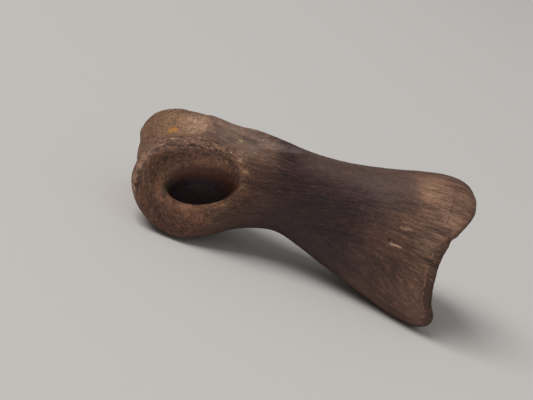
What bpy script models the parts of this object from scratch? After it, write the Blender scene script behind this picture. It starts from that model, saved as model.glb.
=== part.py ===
"""Fossil toe bone of a meat-eating dinosaur: one phalanx that grew as a single piece.

The far end is a pulley: two rounded condyles with a groove between them and a deep ligament pit in each
side. Behind it the back of the bone has a shallow three-cornered hollow, whose tip runs into a low ridge.
The shaft is waisted and arched underneath. The near end flares into a joint face with two shallow cups
and a low ridge between them, and its heel and the two condyles carry the bone.

Frame: metres, +Z up. X runs along the bone, with the pulley at -X and the joint face at +X, and Y runs
across it. The bone lies on z = 0, on small flats under the condyles and the heel. The origin is on that
plane, under the middle of the bone's box.
"""

import math
from typing import NamedTuple

import bmesh
import bpy
import numpy as np

NODE = "toe_bone"
MILLIMETRE = 0.001

# Every size below is in millimetres, in the bone's own lines before it is laid down.
# The bone's middle lies this far from x = 0 there, and it is cut flat this high for its resting flats.
BOX_MIDDLE_X = -2.10
REST_LEVEL = 0.15


class Station(NamedTuple):
    """The shaft's cross-section at one x: a rounded box, flatter as its powers rise."""

    x: float
    top: float
    bottom: float
    half_width: float
    top_power: float
    bottom_power: float


STATIONS = (
    Station(-27.0, 21.0, 2.3, 10.0, 2.8, 2.6),
    Station(-21.0, 22.3, 1.5, 9.8, 2.8, 2.6),
    Station(-15.0, 24.0, 1.6, 9.0, 2.6, 2.4),
    Station(-9.5, 24.2, 4.3, 8.2, 2.3, 2.2),
    Station(-4.0, 24.3, 5.9, 7.8, 2.0, 2.2),
    Station(2.0, 24.9, 4.8, 8.0, 1.95, 2.3),
    Station(8.0, 26.1, 3.0, 8.7, 1.9, 2.4),
    Station(14.0, 27.7, 1.5, 9.9, 1.9, 2.6),
    Station(20.0, 29.6, 0.3, 11.4, 1.95, 3.0),
    Station(25.0, 30.8, -0.2, 12.8, 2.0, 3.7),
    Station(29.0, 30.8, -0.2, 13.6, 2.1, 4.2),
    Station(32.0, 29.9, 0.2, 13.9, 2.1, 4.2),
    Station(35.0, 28.4, 1.4, 13.9, 2.1, 3.6),
)
SECTION_MIDDLE = 0.46  # the widest level of a section, as a share of its height
SHAFT_START_X = -25.0
SHAFT_START_ROUND = 2.0
BACK_LEAN = 0.10  # the back of the far half rises by this much for each unit towards +Y
LEAN_FROM_X = 2.0
LEAN_FULL_X = -12.0

PULLEY_X = -24.0
PULLEY_Z = 11.0
PULLEY_RADIUS = 11.15
PULLEY_HALF_WIDTH = 12.2
PULLEY_TAPER = 0.05
PULLEY_EDGE = 1.5
REAR_DRAW_IN = 2.4  # its flanks draw in by this much, and their edges soften by the next, towards the shaft
REAR_SOFTENING = 3.0
LOW_PART = 8.0  # it is low this far below its axis and high this far above it, easing in between
HIGH_PART = 7.0
FAR_SIDE_FROM_Y = -2.0  # its far condyle's own sizes ease in between these two
FAR_SIDE_FULL_Y = 5.0
PULLEY_REACH = 1.115  # how much farther it reaches to -X than a round pulley would
LOW_REACH = 0.015
FAR_REACH = 0.10
FAR_BULGE_BELOW = 1.0  # the far condyle's own reach eases in between these, below and above the axis
FAR_BULGE_ABOVE = 2.0
PULLEY_POWER = 2.2  # 2 is round, and more is squarer
LOW_POWER = 0.1
FAR_CONDYLE_FULLNESS = 0.4
NEAR_CONDYLE_LEANNESS = 0.2
BACK_FLATTENING = 0.085
GROOVE_DEPTH = 2.5
GROOVE_WIDTH = 4.2
CREST_Y = 7.0
CREST_FALL = 1.1  # the rolling surface falls by this much towards its sides
LOW_CREST_FALL = 0.95
PULLEY_BLEND = 3.5

# The near joint face: its x at these heights, on the middle of the bone
FACE_HEIGHTS = (0.0, 2.5, 5.0, 8.0, 11.0, 15.0, 19.0, 22.0, 25.5, 29.0)
FACE_X = (31.9, 32.9, 32.7, 30.8, 29.8, 29.4, 30.1, 31.0, 32.4, 33.8)
FACE_MIDDLE_Z = 14.0
FACE_HALF_HEIGHT = 13.0
CUP_DEPTH = 1.8
CUP_Y = 6.2
CUP_WIDTH = 4.5
FACE_RIDGE = 0.9
FACE_RIDGE_WIDTH = 2.0
MARGIN_DRAW_BACK = 1.6
MARGIN_FROM_Y = 5.0
MARGIN_FULL_Y = 12.0
MARGIN_Z = 20.5
MARGIN_HEIGHT = 6.0
LIP_ROUND = 1.5
TOP_LIP_ROUND = 2.5  # the lip is rounder by this much at its top, easing in between the next two heights
TOP_LIP_FROM_Z = 20.0
TOP_LIP_FULL_Z = 28.0

# The three-cornered hollow on the back, from the crest to its tip on the shaft
BACK_HOLLOW_START_X = -25.0
BACK_HOLLOW_LENGTH = 21.0
BACK_HOLLOW_DEPTH = 2.6
BACK_HOLLOW_HALF_WIDTH = 5.6
BACK_HOLLOW_TIP_HALF_WIDTH = 0.4
BACK_HOLLOW_NARROWING = 0.7
BACK_HOLLOW_EVENNESS = 0.8  # below 1 keeps the hollow deep along more of its length
BACK_HOLLOW_ROUNDING = 0.75
BACK_HOLLOW_FROM_Z = 12.0
BACK_HOLLOW_FULL_Z = 19.0

# A shallow dish and a deep ligament pit are pressed into each side of the pulley, as tilted ovals
HOLLOW_TILT = math.radians(24.8)
SIDE_FROM_Y = 7.0
SIDE_FULL_Y = 10.0
SIDE_ENDS_X = -6.0
SIDE_FULL_X = -10.0
DISH_CENTRE = (-24.3, 13.0)
DISH_RADII = (10.6, 8.6)
DISH_DEPTH = 1.5
DISH_POWER = 1.2
PIT_CENTRE = (-22.1, 12.6)
PIT_RADII = (7.9, 4.2)
PIT_DEPTH = 6.0
PIT_WALL_START = 0.15  # the floor of the pit reaches this share of the way out to its mouth
PIT_DIRECTION = (0.05, 0.93, -0.36)  # along X, inwards and along Z, so the pit slants a little downwards

# The skin is found on rays from a line inside the bone, in rings of RING_POINTS points
FAR_RAYS_FROM = (-23.0, 0.0, 11.5)
NEAR_RAYS_FROM = (19.0, 0.0, 14.8)
RING_POINTS = 80
FAR_CAP_RINGS = 16
SHAFT_RINGS = 22
SHAFT_CROWDING = 1.25  # above 1 crowds the shaft's rings towards the pulley
NEAR_FLANK_RINGS = 7
NEAR_FACE_RINGS = 8
RIM_CROWDING = 1.5  # above 1 crowds the rings on both sides of the joint face's rim
LONGEST_RAY = 44.0
SEARCH_STEPS = 48
HALVINGS = 22

BONE_COLOUR = (0.105, 0.062, 0.045, 1.0)
BONE_ROUGHNESS = 0.58


def smooth_min(first, second, width):
    """The lower of two fields, blended over this width."""
    share = np.clip(0.5 + 0.5 * (second - first) / width, 0.0, 1.0)
    return second + (first - second) * share - width * share * (1.0 - share)


def smooth_max(first, second, width):
    """The higher of two fields, blended over this width."""
    return -smooth_min(-first, -second, width)


def bell(value):
    """1 at zero, falling off to both sides."""
    return np.exp(-value * value)


def ease(start, end, value):
    """0 at start and 1 at end, easing in and out."""
    share = np.clip((value - start) / (end - start), 0.0, 1.0)
    return share * share * (3.0 - 2.0 * share)


def curve_through(places, heights, value):
    """A smooth curve through these heights at these places."""
    places = np.array(places)
    heights = np.array(heights)
    spans = np.diff(places)
    slopes = np.diff(heights) / spans
    tangents = np.empty_like(heights)
    tangents[0] = slopes[0]
    tangents[-1] = slopes[-1]
    tangents[1:-1] = (slopes[:-1] * spans[1:] + slopes[1:] * spans[:-1]) / (spans[1:] + spans[:-1])
    value = np.clip(value, places[0], places[-1])
    index = np.clip(np.searchsorted(places, value, side="right") - 1, 0, len(places) - 2)
    span = spans[index]
    share = (value - places[index]) / span
    return (
        (2 * share**3 - 3 * share**2 + 1) * heights[index]
        + (share**3 - 2 * share**2 + share) * span * tangents[index]
        + (3 * share**2 - 2 * share**3) * heights[index + 1]
        + (share**3 - share**2) * span * tangents[index + 1]
    )


def pulley(x, y, z):
    """The far joint's field: a pulley across the bone, fuller on the condyle at +Y."""
    low = ease(PULLEY_Z, PULLEY_Z - LOW_PART, z)
    high = ease(PULLEY_Z, PULLEY_Z + HIGH_PART, z)
    far_side = ease(FAR_SIDE_FROM_Y, FAR_SIDE_FULL_Y, y)
    ahead = x < PULLEY_X
    fuller = high * (FAR_CONDYLE_FULLNESS * far_side - NEAR_CONDYLE_LEANNESS * (1.0 - far_side))
    power = PULLEY_POWER - LOW_POWER * low + np.where(ahead, fuller, 0.0)
    bulge = FAR_REACH * far_side * ease(PULLEY_Z - FAR_BULGE_BELOW, PULLEY_Z + FAR_BULGE_ABOVE, z)
    reach = PULLEY_REACH + LOW_REACH * low + bulge
    along = (x - PULLEY_X) / np.where(ahead, reach, 1.0)
    up = (z - PULLEY_Z) * (1.0 + BACK_FLATTENING * high)
    distance = (np.abs(along) ** power + np.abs(up) ** power) ** (1.0 / power)
    groove = GROOVE_DEPTH * bell(y / GROOVE_WIDTH)
    fall = CREST_FALL - (CREST_FALL - LOW_CREST_FALL) * low
    fall = fall * ease(CREST_Y, PULLEY_HALF_WIDTH, np.abs(y))
    rear = ease(PULLEY_X, PULLEY_X + PULLEY_RADIUS, x)
    half_width = PULLEY_HALF_WIDTH - PULLEY_TAPER * (z - PULLEY_Z) - REAR_DRAW_IN * rear
    edge = PULLEY_EDGE + REAR_SOFTENING * rear
    return smooth_max(distance - PULLEY_RADIUS + groove + fall, np.abs(y) - half_width, edge)


def shaft(x, y, z):
    """The shaft's field, from the sections that its stations give."""
    table = np.array(STATIONS)
    top, bottom, half_width, top_power, bottom_power = (
        curve_through(table[:, 0], table[:, column], x) for column in range(1, 6)
    )
    top = top + BACK_LEAN * y * ease(LEAN_FROM_X, LEAN_FULL_X, x)
    middle = bottom + SECTION_MIDDLE * (top - bottom)
    upper = z > middle
    height = np.where(upper, top - middle, middle - bottom)
    power = np.where(upper, top_power, bottom_power)
    share = ((np.abs(y) / half_width) ** power + (np.abs(z - middle) / height) ** power) ** (1.0 / power)
    return smooth_max((share - 1.0) * np.minimum(half_width, height), SHAFT_START_X - x, SHAFT_START_ROUND)


def face_x(y, z):
    """Where the near joint face lies: cupped beside its ridge, with its upper side margins drawn back."""
    inside = np.clip(1.0 - ((z - FACE_MIDDLE_Z) / FACE_HALF_HEIGHT) ** 2, 0.0, 1.0)
    cups = bell((y - CUP_Y) / CUP_WIDTH) + bell((y + CUP_Y) / CUP_WIDTH)
    ridge = FACE_RIDGE * bell(y / FACE_RIDGE_WIDTH)
    margin = MARGIN_DRAW_BACK * ease(MARGIN_FROM_Y, MARGIN_FULL_Y, np.abs(y))
    margin = margin * bell((z - MARGIN_Z) / MARGIN_HEIGHT)
    return curve_through(FACE_HEIGHTS, FACE_X, z) - margin - (CUP_DEPTH * cups - ridge) * inside


def bone(x, y, z):
    """The whole bone's field, below zero inside it."""
    body = smooth_min(pulley(x, y, z), shaft(x, y, z), PULLEY_BLEND)
    along = np.clip((x - BACK_HOLLOW_START_X) / BACK_HOLLOW_LENGTH, 0.0, 1.0)
    half_width = BACK_HOLLOW_HALF_WIDTH * (1.0 - along) ** BACK_HOLLOW_NARROWING + BACK_HOLLOW_TIP_HALF_WIDTH
    hollow = BACK_HOLLOW_DEPTH * np.sin(math.pi * along) ** BACK_HOLLOW_EVENNESS
    hollow = hollow * bell(y / (BACK_HOLLOW_ROUNDING * half_width))
    body = body + hollow * ease(BACK_HOLLOW_FROM_Z, BACK_HOLLOW_FULL_Z, z)
    lip = LIP_ROUND + TOP_LIP_ROUND * ease(TOP_LIP_FROM_Z, TOP_LIP_FULL_Z, z)
    return smooth_max(body, x - face_x(y, z), lip)


def skin(origins, directions):
    """The outermost points of the bone on these rays, by steps inwards and then by halving."""
    outer = np.full(origins.shape[:-1], LONGEST_RAY)
    inner = np.zeros_like(outer)
    found = np.zeros(outer.shape, dtype=bool)
    for step in range(SEARCH_STEPS):
        reach = LONGEST_RAY * (1.0 - (step + 1) / SEARCH_STEPS)
        inside = bone(*np.moveaxis(origins + directions * reach, -1, 0)) < 0.0
        new = inside & ~found
        inner = np.where(new, reach, inner)
        outer = np.where(new, reach + LONGEST_RAY / SEARCH_STEPS, outer)
        found |= inside
    for _ in range(HALVINGS):
        middle = 0.5 * (inner + outer)
        inside = bone(*np.moveaxis(origins + directions * middle[..., None], -1, 0)) < 0.0
        inner = np.where(inside, middle, inner)
        outer = np.where(inside, outer, middle)
    return origins + directions * (0.5 * (inner + outer))[..., None]


def oval_distance(x, z, centre, radii):
    """The distance from an oval's centre in a side view, 1 on its edge."""
    along = (x - centre[0]) * math.cos(HOLLOW_TILT) + (z - centre[1]) * math.sin(HOLLOW_TILT)
    across = (z - centre[1]) * math.cos(HOLLOW_TILT) - (x - centre[0]) * math.sin(HOLLOW_TILT)
    return np.hypot(along / radii[0], across / radii[1])


def press_side_hollows(points):
    """Presses the dish and the ligament pit into each side of the pulley."""
    for side in (-1.0, 1.0):
        x, y, z = np.moveaxis(points, -1, 0)
        on_side = ease(SIDE_FROM_Y, SIDE_FULL_Y, side * y) * ease(SIDE_ENDS_X, SIDE_FULL_X, x)
        in_dish = np.clip(1.0 - oval_distance(x, z, DISH_CENTRE, DISH_RADII) ** 2, 0.0, 1.0)
        dish = DISH_DEPTH * in_dish**DISH_POWER
        pit = PIT_DEPTH * (1.0 - ease(PIT_WALL_START, 1.0, oval_distance(x, z, PIT_CENTRE, PIT_RADII)))
        inwards = np.array([PIT_DIRECTION[0], -side * PIT_DIRECTION[1], PIT_DIRECTION[2]])
        points = points + (pit * on_side)[..., None] * inwards
        points[..., 1] -= side * dish * on_side
    return points


def lay_down(points):
    """Cuts the resting flats and moves the bone to its own frame."""
    points = points.copy()
    points[..., 2] = np.maximum(points[..., 2], REST_LEVEL) - REST_LEVEL
    points[..., 0] -= BOX_MIDDLE_X
    return points


def ray(angle, turn):
    """The direction at this angle from +X and this turn round it."""
    return np.stack([np.cos(angle), np.sin(angle) * np.cos(turn), np.sin(angle) * np.sin(turn)], axis=-1)


def rim_angles(turn):
    """The angle from +X at which each ray of the near end meets the joint face's rim."""
    on_face = np.zeros_like(turn)
    on_flank = np.full_like(turn, math.pi / 2)
    for _ in range(HALVINGS):
        middle = 0.5 * (on_face + on_flank)
        directions = ray(middle, turn)
        x, y, z = np.moveaxis(skin(np.array(NEAR_RAYS_FROM) + np.zeros_like(directions), directions), -1, 0)
        past_rim = x - face_x(y, z) > smooth_min(pulley(x, y, z), shaft(x, y, z), PULLEY_BLEND)
        on_face = np.where(past_rim, middle, on_face)
        on_flank = np.where(past_rim, on_flank, middle)
    return 0.5 * (on_face + on_flank)


def ray_rings():
    """The rays' starting points and directions, ring by ring from the far pole's side to the near pole's."""
    turn = np.linspace(0.0, 2.0 * math.pi, RING_POINTS, endpoint=False)
    far = np.array(FAR_RAYS_FROM)
    near = np.array(NEAR_RAYS_FROM)
    rim = rim_angles(turn)
    square = np.full_like(turn, math.pi / 2)
    rings = [(far, math.pi - square * step / FAR_CAP_RINGS) for step in range(1, FAR_CAP_RINGS)]
    for step in range(SHAFT_RINGS + 1):
        rings.append((far + (near - far) * (step / SHAFT_RINGS) ** SHAFT_CROWDING, square))
    for step in range(1, NEAR_FLANK_RINGS + 1):
        rings.append((near, rim + (square - rim) * (1.0 - step / NEAR_FLANK_RINGS) ** RIM_CROWDING))
    for step in range(1, NEAR_FACE_RINGS):
        rings.append((near, rim * (1.0 - (step / NEAR_FACE_RINGS) ** RIM_CROWDING)))
    directions = np.array([ray(angle, turn) for _, angle in rings])
    return np.array([start for start, _ in rings])[:, None, :] + np.zeros_like(directions), directions


def bone_mesh():
    """The bone's closed mesh: rings of points round it, with a point at each pole."""
    points = lay_down(press_side_hollows(skin(*ray_rings()))) * MILLIMETRE
    poles = skin(np.array([FAR_RAYS_FROM, NEAR_RAYS_FROM]), np.array([[-1.0, 0.0, 0.0], [1.0, 0.0, 0.0]]))
    poles = lay_down(poles) * MILLIMETRE

    grid = bmesh.new()
    loops = [[grid.verts.new(point) for point in ring] for ring in points]
    for loop, next_loop in zip(loops[:-1], loops[1:]):
        for index in range(RING_POINTS):
            after = (index + 1) % RING_POINTS
            grid.faces.new((loop[index], next_loop[index], next_loop[after], loop[after]))
    for pole, loop in zip(poles, (loops[0], loops[-1])):
        centre = grid.verts.new(pole)
        for index in range(RING_POINTS):
            grid.faces.new((centre, loop[index], loop[(index + 1) % RING_POINTS]))
    bmesh.ops.recalc_face_normals(grid, faces=grid.faces)
    bmesh.ops.triangulate(grid, faces=grid.faces)
    mesh = bpy.data.meshes.new(NODE)
    grid.to_mesh(mesh)
    grid.free()
    mesh.shade_smooth()
    return mesh


def bone_material():
    """Dark brown mineralised bone with a soft, low sheen."""
    material = bpy.data.materials.new("fossil_bone")
    material.use_nodes = True
    shader = material.node_tree.nodes["Principled BSDF"]
    shader.inputs["Base Color"].default_value = BONE_COLOUR
    shader.inputs["Roughness"].default_value = BONE_ROUGHNESS
    shader.inputs["Metallic"].default_value = 0.0
    material.diffuse_color = BONE_COLOUR
    return material


def main():
    for old in list(bpy.context.scene.objects):
        bpy.data.objects.remove(old, do_unlink=True)
    bone_object = bpy.data.objects.new(NODE, bone_mesh())
    bone_object.data.materials.append(bone_material())
    bpy.context.scene.collection.objects.link(bone_object)


main()
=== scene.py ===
"""Render scene of a fossil toe bone that lies on a pale table under soft studio light.

The bone's skin is one surface of two parameters, worked out in millimetres on a grid of rays. The first
parameter runs along the bone, from the tip of its pulley joint to the middle of its cupped joint face, and
the second runs round it. Relief then presses pits, fibres, wear and damage into the skin, and a mineral
finish colours it from what the relief says about each point.
"""

import logging
import math
from dataclasses import dataclass, field
from enum import Enum
from typing import Any, Iterable, Mapping, NamedTuple, Sequence

import bpy
import numpy as np
from mathutils import Matrix, Vector


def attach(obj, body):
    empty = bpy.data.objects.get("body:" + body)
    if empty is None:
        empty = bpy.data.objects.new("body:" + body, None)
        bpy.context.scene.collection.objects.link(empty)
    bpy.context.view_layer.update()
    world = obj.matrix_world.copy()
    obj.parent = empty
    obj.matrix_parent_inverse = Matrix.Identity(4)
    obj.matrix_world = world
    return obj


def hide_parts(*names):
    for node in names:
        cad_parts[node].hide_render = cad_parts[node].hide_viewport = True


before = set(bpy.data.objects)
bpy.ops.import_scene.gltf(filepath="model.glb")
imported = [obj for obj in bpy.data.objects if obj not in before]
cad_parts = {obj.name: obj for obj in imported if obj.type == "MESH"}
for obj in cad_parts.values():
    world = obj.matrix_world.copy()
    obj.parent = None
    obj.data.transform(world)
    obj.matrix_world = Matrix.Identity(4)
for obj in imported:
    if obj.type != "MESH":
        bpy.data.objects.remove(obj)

LOG = logging.getLogger("toe_bone_scene")
MILLIMETRE = 0.001
Array = np.ndarray
Colour = tuple[float, float, float]
Triple = tuple[float, float, float]
Pair = tuple[float, float]


# Small curves that the shape and its relief share


def smooth_min(first: Array, second: Array, width: Any) -> Array:
    """The lower of two fields, rounded over a width where they cross."""
    share = np.clip(0.5 + 0.5 * (second - first) / width, 0.0, 1.0)
    return second + (first - second) * share - width * share * (1.0 - share)


def smooth_max(first: Array, second: Array, width: Any) -> Array:
    """The higher of two fields, rounded over a width where they cross."""
    return -smooth_min(-first, -second, width)


def bell(value: Array) -> Array:
    """A bell: e to the power of minus the value squared."""
    return np.exp(-value * value)


def ease(start: float, end: float, value: Array) -> Array:
    """A step that eases in and out: 3 t squared minus 2 t cubed, t being the share from start to end."""
    share = np.clip((value - start) / (end - start), 0.0, 1.0)
    return share * share * (3.0 - 2.0 * share)


class Fade(NamedTuple):
    """An eased step: 0 at its start and 1 at its end."""

    start: float
    end: float

    def __call__(self, value: Array) -> Array:
        """The step's share at each value."""
        return ease(self.start, self.end, value)


class Hump(NamedTuple):
    """A bell with its own middle and width."""

    middle: float
    width: float

    def __call__(self, value: Array) -> Array:
        """The bell's height at each value."""
        return bell((value - self.middle) / self.width)


def curve_through(places: Sequence[float], heights: Sequence[float], value: Array) -> Array:
    """A smooth curve through given heights.

    Each stretch is a cubic whose slope at a place is the weighted mean of the straight slopes beside it.

    Args:
        places: Where the heights are given, rising.
        heights: The height at each place.
        value: Where the curve is wanted.

    Returns:
        The curve's height at each value.
    """
    at = np.array(places)
    high = np.array(heights)
    spans = np.diff(at)
    slopes = np.diff(high) / spans
    between = (slopes[:-1] * spans[1:] + slopes[1:] * spans[:-1]) / (spans[1:] + spans[:-1])
    tangents = np.concatenate([slopes[:1], between, slopes[-1:]])
    value = np.clip(value, at[0], at[-1])
    index = np.clip(np.searchsorted(at, value, side="right") - 1, 0, len(at) - 2)
    span = spans[index]
    t = (value - at[index]) / span
    return (
        (2 * t**3 - 3 * t**2 + 1) * high[index]
        + (t**3 - 2 * t**2 + t) * span * tangents[index]
        + (3 * t**2 - 2 * t**3) * high[index + 1]
        + (t**3 - t**2) * span * tangents[index + 1]
    )


@dataclass(frozen=True)
class Grain:
    """Seeded gradient noise in space, which gives the skin its natural unevenness."""

    seed: int
    period: int = 256

    def __call__(self, points: Array) -> Array:
        """Reads the noise.

        Each lattice corner has a random slope. The noise is the slopes' heights at a point, blended between
        the eight corners round it by the curve 6 t^5 - 15 t^4 + 10 t^3.

        Args:
            points: Points of any leading shape, with one lattice cell to the unit.

        Returns:
            Values from about -1 to 1.
        """
        random = np.random.default_rng(self.seed)
        slopes = random.normal(size=(self.period, 3))
        slopes /= np.linalg.norm(slopes, axis=1, keepdims=True)
        mix = random.permutation(self.period)
        cell = np.floor(points).astype(np.int64)
        share = points - cell
        blend = share**3 * (share * (share * 6.0 - 15.0) + 10.0)
        total = np.zeros(points.shape[:-1])
        for corner in np.ndindex(2, 2, 2):
            key = np.zeros(points.shape[:-1], dtype=np.int64)
            for place in np.moveaxis(cell + corner, -1, 0):
                key = mix[(key + place) % self.period]
            weight = np.prod(np.where(np.array(corner) == 1, blend, 1.0 - blend), axis=-1)
            total += weight * np.sum(slopes[key] * (share - corner), axis=-1)
        return 1.5 * total

    def layered(self, points: Array, layers: int) -> Array:
        """The noise in several layers, each twice as fine and half as high as the one before."""
        total = np.zeros(points.shape[:-1])
        for layer in range(layers):
            total += Grain(self.seed + layer)(points * 2.0**layer) / 2.0**layer
        return total


# The bone's form, which is the solid's apart from its deeper pits


class Station(NamedTuple):
    """The shaft's cross-section at one x: a rounded box, flatter as its powers rise."""

    x: float
    top: float
    bottom: float
    half_width: float
    top_power: float
    bottom_power: float


@dataclass(frozen=True)
class Oval:
    """An oval in the bone's side view, its long axis tilted up towards +X."""

    centre: Pair
    radii: Pair
    tilt: float = math.radians(24.8)

    def distance(self, x: Array, z: Array) -> Array:
        """The distance from the oval's centre, scaled so that it is 1 on the oval's edge."""
        along, across = x - self.centre[0], z - self.centre[1]
        cosine, sine = math.cos(self.tilt), math.sin(self.tilt)
        long, short = self.radii
        return np.hypot((along * cosine + across * sine) / long, (across * cosine - along * sine) / short)


@dataclass(frozen=True)
class BoneForm:
    """The bone's smooth form as a field in millimetres that is below zero inside it."""

    stations: tuple[Station, ...] = (
        Station(-27.0, 21.0, 2.3, 10.0, 2.8, 2.6),
        Station(-21.0, 22.3, 1.5, 9.8, 2.8, 2.6),
        Station(-15.0, 24.0, 1.6, 9.0, 2.6, 2.4),
        Station(-9.5, 24.2, 4.3, 8.2, 2.3, 2.2),
        Station(-4.0, 24.3, 5.9, 7.8, 2.0, 2.2),
        Station(2.0, 24.9, 4.8, 8.0, 1.95, 2.3),
        Station(8.0, 26.1, 3.0, 8.7, 1.9, 2.4),
        Station(14.0, 27.7, 1.5, 9.9, 1.9, 2.6),
        Station(20.0, 29.6, 0.3, 11.4, 1.95, 3.0),
        Station(25.0, 30.8, -0.2, 12.8, 2.0, 3.7),
        Station(29.0, 30.8, -0.2, 13.6, 2.1, 4.2),
        Station(32.0, 29.9, 0.2, 13.9, 2.1, 4.2),
        Station(35.0, 28.4, 1.4, 13.9, 2.1, 3.6),
    )
    section_middle: float = 0.46
    shaft_start_x: float = -25.0
    shaft_start_round: float = 2.0
    back_lean: float = 0.10
    leaning: Fade = Fade(2.0, -12.0)
    pulley_x: float = -24.0
    pulley_z: float = 11.0
    pulley_radius: float = 11.15
    pulley_half_width: float = 12.2
    pulley_taper: float = 0.05
    pulley_edge: float = 1.5
    rear_draw_in: float = 2.4
    rear_softening: float = 3.0
    pulley_reach: float = 1.115
    low_span: float = 8.0
    low_reach: float = 0.015
    high_span: float = 7.0
    far_side: Fade = Fade(-2.0, 5.0)
    far_reach: float = 0.10
    far_bulge: Fade = Fade(10.0, 13.0)
    pulley_power: float = 2.2
    low_power: float = 0.1
    far_condyle_fullness: float = 0.4
    near_condyle_leanness: float = 0.2
    back_flattening: float = 0.085
    groove_depth: float = 2.5
    groove_width: float = 4.2
    crest_y: float = 7.0
    crest_fall: float = 1.1
    low_crest_fall: float = 0.95
    pulley_blend: float = 3.5
    face_heights: tuple[float, ...] = (0.0, 2.5, 5.0, 8.0, 11.0, 15.0, 19.0, 22.0, 25.5, 29.0)
    face_places: tuple[float, ...] = (31.9, 32.9, 32.7, 30.8, 29.8, 29.4, 30.1, 31.0, 32.4, 33.8)
    face_middle_z: float = 14.0
    face_half_height: float = 13.0
    cup_depth: float = 1.8
    cup_y: float = 6.2
    cup_width: float = 4.5
    face_ridge: float = 0.9
    face_ridge_width: float = 2.0
    margin_draw_back: float = 1.6
    margin_out: Fade = Fade(5.0, 12.0)
    margin_up: Hump = Hump(20.5, 6.0)
    lip_round: float = 1.5
    top_lip_round: float = 2.5
    top_lip: Fade = Fade(20.0, 28.0)
    back_hollow_start_x: float = -25.0
    back_hollow_length: float = 21.0
    back_hollow_depth: float = 2.6
    back_hollow_depth_power: float = 0.8
    back_hollow_half_width: float = 5.6
    back_hollow_least: float = 0.4
    back_hollow_width_power: float = 0.7
    back_hollow_up: Fade = Fade(12.0, 19.0)
    side_out: Fade = Fade(7.0, 10.0)
    side_along: Fade = Fade(-6.0, -10.0)
    dish: Oval = Oval((-24.3, 13.0), (10.6, 8.6))
    dish_depth: float = 1.5
    dish_power: float = 1.2
    pit: Oval = Oval((-22.2, 13.0), (7.9, 4.3))
    pit_depth: float = 8.0
    pit_direction: Triple = (0.05, 0.78, -0.62)
    pit_wall_start: float = 0.58
    rim_inset: float = 2.4
    rim_inset_above: float = 1.9
    rim_turn: float = 2.4
    rim_turn_width: float = 0.6
    rear_rim: float = 1.03
    rear_span: float = 9.5
    rear_from_above: Fade = Fade(1.25, 0.80)
    rear_from_below: Fade = Fade(-1.5, -0.4)

    def pulley_parts(self, x: Array, y: Array, z: Array) -> tuple[Array, Array, Array]:
        """Measures a point against the pulley.

        The rolling surface is the distance from the pulley's axis, to a power, less its radius with its
        groove.

        Returns:
            The distances outside the rolling surface and outside the sides, and their edge's roundness.
        """
        low = ease(self.pulley_z, self.pulley_z - self.low_span, z)
        high = ease(self.pulley_z, self.pulley_z + self.high_span, z)
        far = self.far_side(y)
        ahead = x < self.pulley_x
        fuller = high * (self.far_condyle_fullness * far - self.near_condyle_leanness * (1.0 - far))
        power = self.pulley_power - self.low_power * low + np.where(ahead, fuller, 0.0)
        reach = self.pulley_reach + self.low_reach * low + self.far_reach * far * self.far_bulge(z)
        along = (x - self.pulley_x) / np.where(ahead, reach, 1.0)
        up = (z - self.pulley_z) * (1.0 + high * self.back_flattening)
        distance = (np.abs(along) ** power + np.abs(up) ** power) ** (1.0 / power)
        groove = self.groove_depth * bell(y / self.groove_width)
        fall = self.crest_fall - (self.crest_fall - self.low_crest_fall) * low
        fall = fall * ease(self.crest_y, self.pulley_half_width, np.abs(y))
        rear = ease(self.pulley_x, self.pulley_x + self.pulley_radius, x)
        half_width = self.pulley_half_width - self.pulley_taper * (z - self.pulley_z)
        sideways = np.abs(y) - (half_width - self.rear_draw_in * rear)
        edge = self.pulley_edge + self.rear_softening * rear
        return distance - self.pulley_radius + groove + fall, sideways, edge

    def rim_place(self, x: Array, y: Array, z: Array) -> tuple[Array, Array, Array]:
        """Where a point lies across and along the raised rim of the pulley's side.

        In front and above, the rim runs a little inside the edge between the side and the rolling surface, by
        an inset that grows by a bell towards the upper front. Behind, it runs along the dish's oval.

        Returns:
            The distance inwards from the rim's crest, the turn round the pulley, and the share of the rear.
        """
        rolling, sideways, _ = self.pulley_parts(x, y, z)
        turn = np.arctan2(z - self.pulley_z, x - self.pulley_x)
        from_upper_front = np.mod(turn - self.rim_turn + math.pi, 2.0 * math.pi) - math.pi
        inset = self.rim_inset + self.rim_inset_above * bell(from_upper_front / self.rim_turn_width)
        behind = self.rear_from_above(turn) * self.rear_from_below(turn)
        front_place = sideways - rolling + inset
        rear_place = (self.rear_rim - self.dish.distance(x, z)) * self.rear_span
        return front_place * (1.0 - behind) + rear_place * behind, turn, behind

    def shaft(self, x: Array, y: Array, z: Array) -> Array:
        """The shaft: rounded boxes whose sizes and powers run through the stations."""
        table = np.array(self.stations)
        top, bottom, half_width, top_power, bottom_power = (
            curve_through(table[:, 0], table[:, column], x) for column in range(1, 6)
        )
        top = top + self.back_lean * y * self.leaning(x)
        middle = bottom + self.section_middle * (top - bottom)
        upper = z > middle
        height = np.where(upper, top - middle, middle - bottom)
        power = np.where(upper, top_power, bottom_power)
        share = ((np.abs(y) / half_width) ** power + (np.abs(z - middle) / height) ** power) ** (1.0 / power)
        box = (share - 1.0) * np.minimum(half_width, height)
        return smooth_max(box, self.shaft_start_x - x, self.shaft_start_round)

    def face_x(self, y: Array, z: Array) -> Array:
        """Where the near joint face lies: a curve up its middle, less two bell-shaped cups, plus a ridge."""
        inside = np.clip(1.0 - ((z - self.face_middle_z) / self.face_half_height) ** 2, 0.0, 1.0)
        cups = bell((y - self.cup_y) / self.cup_width) + bell((y + self.cup_y) / self.cup_width)
        ridge = self.face_ridge * bell(y / self.face_ridge_width)
        margin = self.margin_draw_back * self.margin_out(np.abs(y)) * self.margin_up(z)
        middle = curve_through(self.face_heights, self.face_places, z)
        return middle - margin - (self.cup_depth * cups - ridge) * inside

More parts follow.
